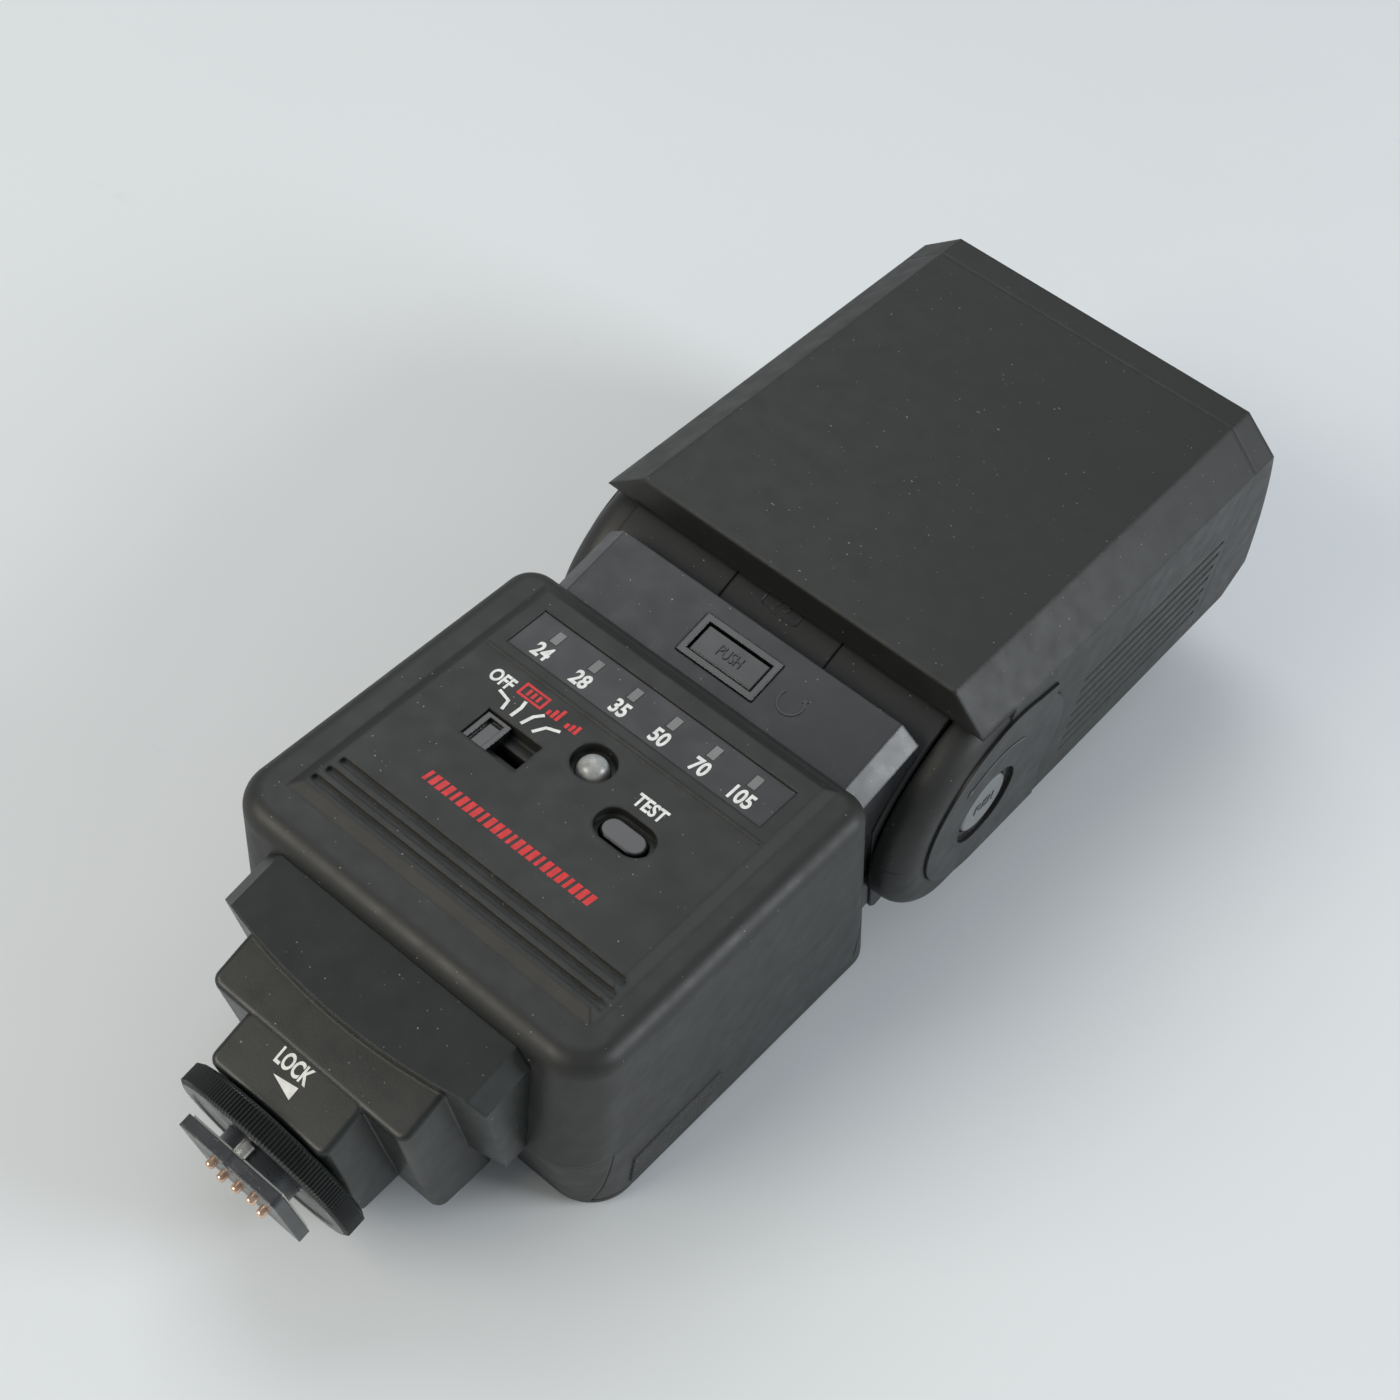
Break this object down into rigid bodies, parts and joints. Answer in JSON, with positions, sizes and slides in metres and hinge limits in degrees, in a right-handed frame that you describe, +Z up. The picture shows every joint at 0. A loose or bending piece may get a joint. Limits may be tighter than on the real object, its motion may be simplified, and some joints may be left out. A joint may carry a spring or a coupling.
{
  "type": "speedlight flash",
  "caption": "Clip-on electronic camera flash: battery case with shoe foot, swivelling neck and tilting zoom head, lying on its front with the panel up.",
  "frame": {"origin": "middle of the box that holds the flash, on the surface it lies on", "axes": "+X to the right of the control panel, +Y from the foot to the lens, +Z up, out of the control panel, which leans 2.4 degrees because the flash lies on the sloping front of its case"},
  "size_m": [0.077, 0.221, 0.0613],
  "materials": {
    "case_black": "fine-grained satin",
    "gloss_black": "polished",
    "button_grey": "satin",
    "smoke_window": "polished",
    "light_window": "polished",
    "lamp_lens": "translucent, satin",
    "red_window": "polished, deep red",
    "clear_lens": "moulded with fine ridges",
    "milk_panel": "translucent",
    "shoe_metal": "dark satin",
    "spring_steel": "bright",
    "pin_gold": "plated",
    "reflector_metal": "bright",
    "tube_glass": "clear",
    "board_green": "solder mask",
    "capacitor_can": "sleeved",
    "ferrite": "matte",
    "inner_plastic": "plain",
    "cell_can": "sleeved can"
  },
  "bodies": {
    "case": {"back_cover": "case_black", "front_cover": "case_black", "zoom_scale_window": "smoke_window", "scale_lights": "light_window", "ready_lamp": "lamp_lens", "main_board": "board_green", "power_board": "board_green", "main_capacitor": "capacitor_can", "oscillator_transformer": "ferrite", "panel_switches": "inner_plastic", "cell_tray": "inner_plastic", "cells": "cell_can", "cell_springs": "spring_steel", "case_screws": "spring_steel", "foot_block": "case_black", "shoe_plate": "shoe_metal", "shoe_spring": "spring_steel", "af_window": "red_window", "af_emitter": "lamp_lens"},
    "door": {"battery_door": "case_black", "cell_bridges": "spring_steel"},
    "wheel": {"lock_wheel": "gloss_black"},
    "locking_pin": {"lock_pin": "spring_steel"},
    "pins": {"contact_pins": "pin_gold"},
    "mode_switch": {"mode_slider": "gloss_black"},
    "test_key": {"test_button": "gloss_black"},
    "neck": {"neck_block": "case_black", "neck_front_plate": "case_black", "neck_button_bezel": "gloss_black", "swivel_post": "inner_plastic", "swivel_ring": "spring_steel", "hinge_drum": "case_black", "tilt_pivots": "spring_steel"},
    "neck_key": {"neck_button": "button_grey"},
    "head": {"head_top_shell": "case_black", "head_low_shell": "case_black", "lens_bezel": "case_black", "fresnel_lens": "clear_lens", "left_ear_cover": "case_black", "right_ear_cover": "case_black", "zoom_motor": "spring_steel", "guide_rods": "spring_steel"},
    "tilt_key": {"tilt_button": "button_grey"},
    "wide_panel_slide": {"wide_panel": "milk_panel"},
    "zoom_unit": {"zoom_carriage": "inner_plastic", "reflector": "reflector_metal", "flash_tube": "tube_glass"},
    "zoom_screw": {"lead_screw": "spring_steel"}
  },
  "joints": [
    {"name": "swivel", "type": "hinge", "parent": "case", "child": "neck", "pos_m": [0, -0.00526, 0.02726], "axis": [0, 0.9541, 0.2996], "range_deg": [-90, 180]},
    {"name": "tilt", "type": "hinge", "parent": "neck", "child": "head", "pos_m": [0, 0.01839, 0.02793], "axis": [1, 0, 0], "range_deg": [-82, 15]},
    {"name": "lock_wheel_turn", "type": "hinge", "parent": "case", "child": "wheel", "pos_m": [0, -0.10171, 0.02066], "axis": [0, -0.9541, -0.2996], "range_deg": [0, 240]},
    {"name": "lock_pin_slide", "type": "slide", "parent": "case", "child": "locking_pin", "axis": [0, -0.9541, -0.2996], "range_m": [0, 0.0015]},
    {"name": "contact_pins_press", "type": "slide", "parent": "case", "child": "pins", "axis": [0, 0.9541, 0.2996], "range_m": [0, 0.0009], "stiffness_N_per_m": 400, "springref_m": -0.0003},
    {"name": "mode_slide", "type": "slide", "parent": "case", "child": "mode_switch", "axis": [1, 0, 0], "range_m": [0, 0.0056]},
    {"name": "test_press", "type": "slide", "parent": "case", "child": "test_key", "axis": [0, 0.0424, -0.9991], "range_m": [0, 0.0008], "stiffness_N_per_m": 300, "springref_m": -0.0003},
    {"name": "neck_button_press", "type": "slide", "parent": "neck", "child": "neck_key", "axis": [0, 0.2996, -0.9541], "range_m": [0, 0.0012], "stiffness_N_per_m": 300, "springref_m": -0.0003},
    {"name": "tilt_button_press", "type": "slide", "parent": "head", "child": "tilt_key", "axis": [-1, 0, 0], "range_m": [0, 0.0012], "stiffness_N_per_m": 300, "springref_m": -0.0003},
    {"name": "battery_door_hinge", "type": "hinge", "parent": "case", "child": "door", "pos_m": [0.0348, -0.03687, 0.00457], "axis": [0, 0.9991, 0.0424], "range_deg": [0, 90]},
    {"name": "wide_panel_pull", "type": "slide", "parent": "head", "child": "wide_panel_slide", "axis": [0, 0.9991, 0.0424], "range_m": [0, 0.026]},
    {"name": "zoom_travel", "type": "slide", "parent": "head", "child": "zoom_unit", "axis": [0, -0.9991, -0.0424], "range_m": [0, 0.015]},
    {"name": "zoom_screw_turn", "type": "hinge", "parent": "head", "child": "zoom_screw", "pos_m": [0, 0.05884, 0.01824], "axis": [0, 0.9991, 0.0424], "range_deg": [0, 1801]}
  ],
  "couplings": [
    {"joint": "lock_pin_slide", "follows": "lock_wheel_turn", "m_per_rad": 0.000358},
    {"joint": "zoom_screw_turn", "follows": "zoom_travel", "rad_per_m": 2094.4}
  ]
}
